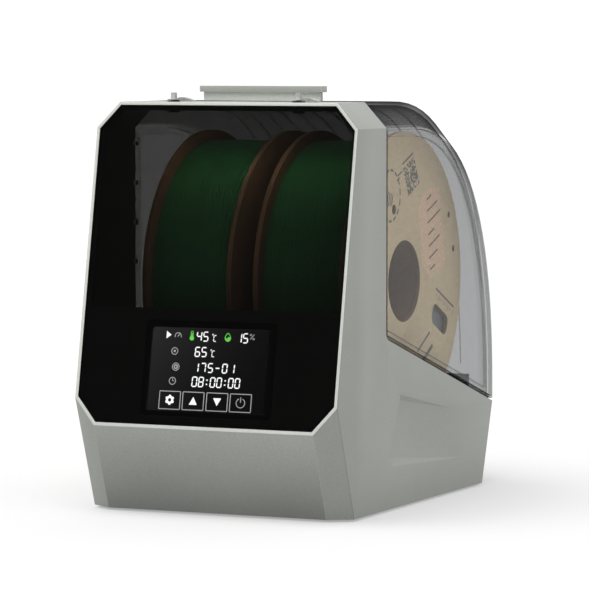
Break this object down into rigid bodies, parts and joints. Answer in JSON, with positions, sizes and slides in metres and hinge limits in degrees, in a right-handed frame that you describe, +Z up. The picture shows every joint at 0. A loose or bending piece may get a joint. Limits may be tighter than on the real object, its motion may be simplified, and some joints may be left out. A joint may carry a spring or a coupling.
{
  "type": "filament dryer",
  "caption": "Heated dryer box for side-by-side filament spools, with a leaning display front, clear-sided curved lid on a rear hinge, roller bed, fan and heater.",
  "frame": {"origin": "under the middle of the box, on the surface its feet stand on", "axes": "+X to the right seen from the front, +Y to the back, +Z up"},
  "size_m": [0.1862, 0.2854, 0.2762],
  "materials": {
    "silver_plastic": "silver-grey ABS with a fine metallic speckle",
    "panel_acrylic": "polished, smoke-tinted above and printed black below",
    "black_plastic": "moulded, lightly textured",
    "black_rubber": "soft rubber",
    "steel": "turned and zinc-plated",
    "cardboard": "pressed board, bare",
    "green_filament": "wound filament, satin",
    "smoked_polycarbonate": "smoke-tinted, polished outside",
    "clear_polycarbonate": "clear, polished",
    "grey_silicone": "silicone",
    "circuit_board": "solder resist",
    "heater_fins": "mill finish"
  },
  "bodies": {
    "base": {"bottom_plate": "black_plastic", "case_screw_1": "steel", "case_screw_2": "steel", "case_screw_3": "steel", "case_screw_4": "steel", "chamber_deck": "black_plastic", "display_board": "circuit_board", "display_module": "black_plastic", "fan_frame": "black_plastic", "front_cover": "silver_plastic", "front_panel": "panel_acrylic", "heater_core": "heater_fins", "heater_duct": "black_plastic", "hinge_pin_left": "steel", "hinge_pin_right": "steel", "housing_shell": "silver_plastic", "humidity_sensor": "black_plastic", "lid_seal": "black_rubber", "main_board": "circuit_board", "outlet_bushing_left": "black_plastic", "outlet_bushing_right": "black_plastic", "power_inlet": "black_plastic", "power_module": "circuit_board", "roller_axle_front": "steel", "roller_axle_rear": "steel", "rubber_foot_1": "black_rubber", "rubber_foot_2": "black_rubber", "rubber_foot_3": "black_rubber", "rubber_foot_4": "black_rubber", "switch_housing": "black_plastic"},
    "lid": {"lid_arch": "smoked_polycarbonate", "lid_window_left": "clear_polycarbonate", "lid_window_right": "clear_polycarbonate", "hinge_bar": "black_plastic", "lid_handle": "silver_plastic"},
    "spool_left": {"spool_left_flange_inner": "cardboard", "spool_left_flange_outer": "cardboard", "spool_left_core": "cardboard", "filament_left": "green_filament"},
    "spool_right": {"spool_right_flange_inner": "cardboard", "spool_right_flange_outer": "cardboard", "spool_right_core": "cardboard", "filament_right": "green_filament"},
    "roller_front_left": {"roller_front_left": "black_rubber", "roller_bearing_front_left_inner": "steel", "roller_bearing_front_left_outer": "steel"},
    "roller_front_right": {"roller_front_right": "black_rubber", "roller_bearing_front_right_inner": "steel", "roller_bearing_front_right_outer": "steel"},
    "roller_rear_left": {"roller_rear_left": "black_rubber", "roller_bearing_rear_left_inner": "steel", "roller_bearing_rear_left_outer": "steel"},
    "roller_rear_right": {"roller_rear_right": "black_rubber", "roller_bearing_rear_right_inner": "steel", "roller_bearing_rear_right_outer": "steel"},
    "fan_rotor": {"fan_rotor": "black_plastic"},
    "switch_rocker": {"switch_rocker": "black_plastic"},
    "outlet_plug_left": {"outlet_plug_left": "grey_silicone"},
    "outlet_plug_right": {"outlet_plug_right": "grey_silicone"}
  },
  "joints": [
    {"name": "lid_hinge", "type": "hinge", "parent": "base", "child": "lid", "pos_m": [0, 0.137, 0.0542], "axis": [-1, 0, 0], "range_deg": [0, 85]},
    {"name": "spool_left_spin", "type": "hinge", "parent": "base", "child": "spool_left", "pos_m": [-0.0403, 0.0166, 0.1456], "axis": [1, 0, 0], "continuous": true},
    {"name": "spool_right_spin", "type": "hinge", "parent": "base", "child": "spool_right", "pos_m": [0.0403, 0.0166, 0.1456], "axis": [1, 0, 0], "continuous": true},
    {"name": "roller_front_left_spin", "type": "hinge", "parent": "base", "child": "roller_front_left", "pos_m": [-0.0405, -0.04452, 0.05499], "axis": [1, 0, 0], "continuous": true},
    {"name": "roller_front_right_spin", "type": "hinge", "parent": "base", "child": "roller_front_right", "pos_m": [0.0405, -0.04452, 0.05499], "axis": [1, 0, 0], "continuous": true},
    {"name": "roller_rear_left_spin", "type": "hinge", "parent": "base", "child": "roller_rear_left", "pos_m": [-0.0405, 0.07772, 0.05499], "axis": [1, 0, 0], "continuous": true},
    {"name": "roller_rear_right_spin", "type": "hinge", "parent": "base", "child": "roller_rear_right", "pos_m": [0.0405, 0.07772, 0.05499], "axis": [1, 0, 0], "continuous": true},
    {"name": "fan_spin", "type": "hinge", "parent": "base", "child": "fan_rotor", "pos_m": [0, 0.086, 0.0269], "axis": [0, 0, 1], "continuous": true},
    {"name": "switch_rock", "type": "hinge", "parent": "base", "child": "switch_rocker", "pos_m": [0.014, 0.13014, 0.02301], "axis": [1, 0, 0], "range_deg": [0, 18]},
    {"name": "outlet_plug_left_lift", "type": "slide", "parent": "base", "child": "outlet_plug_left", "axis": [0, 0, 1], "range_m": [0, 0.016]},
    {"name": "outlet_plug_right_lift", "type": "slide", "parent": "base", "child": "outlet_plug_right", "axis": [0, 0, 1], "range_m": [0, 0.016]}
  ],
  "couplings": [
    {"joint": "roller_front_left_spin", "follows": "spool_left_spin", "ratio": -11.111},
    {"joint": "roller_front_right_spin", "follows": "spool_right_spin", "ratio": -11.111},
    {"joint": "roller_rear_left_spin", "follows": "spool_left_spin", "ratio": -11.111},
    {"joint": "roller_rear_right_spin", "follows": "spool_right_spin", "ratio": -11.111}
  ]
}
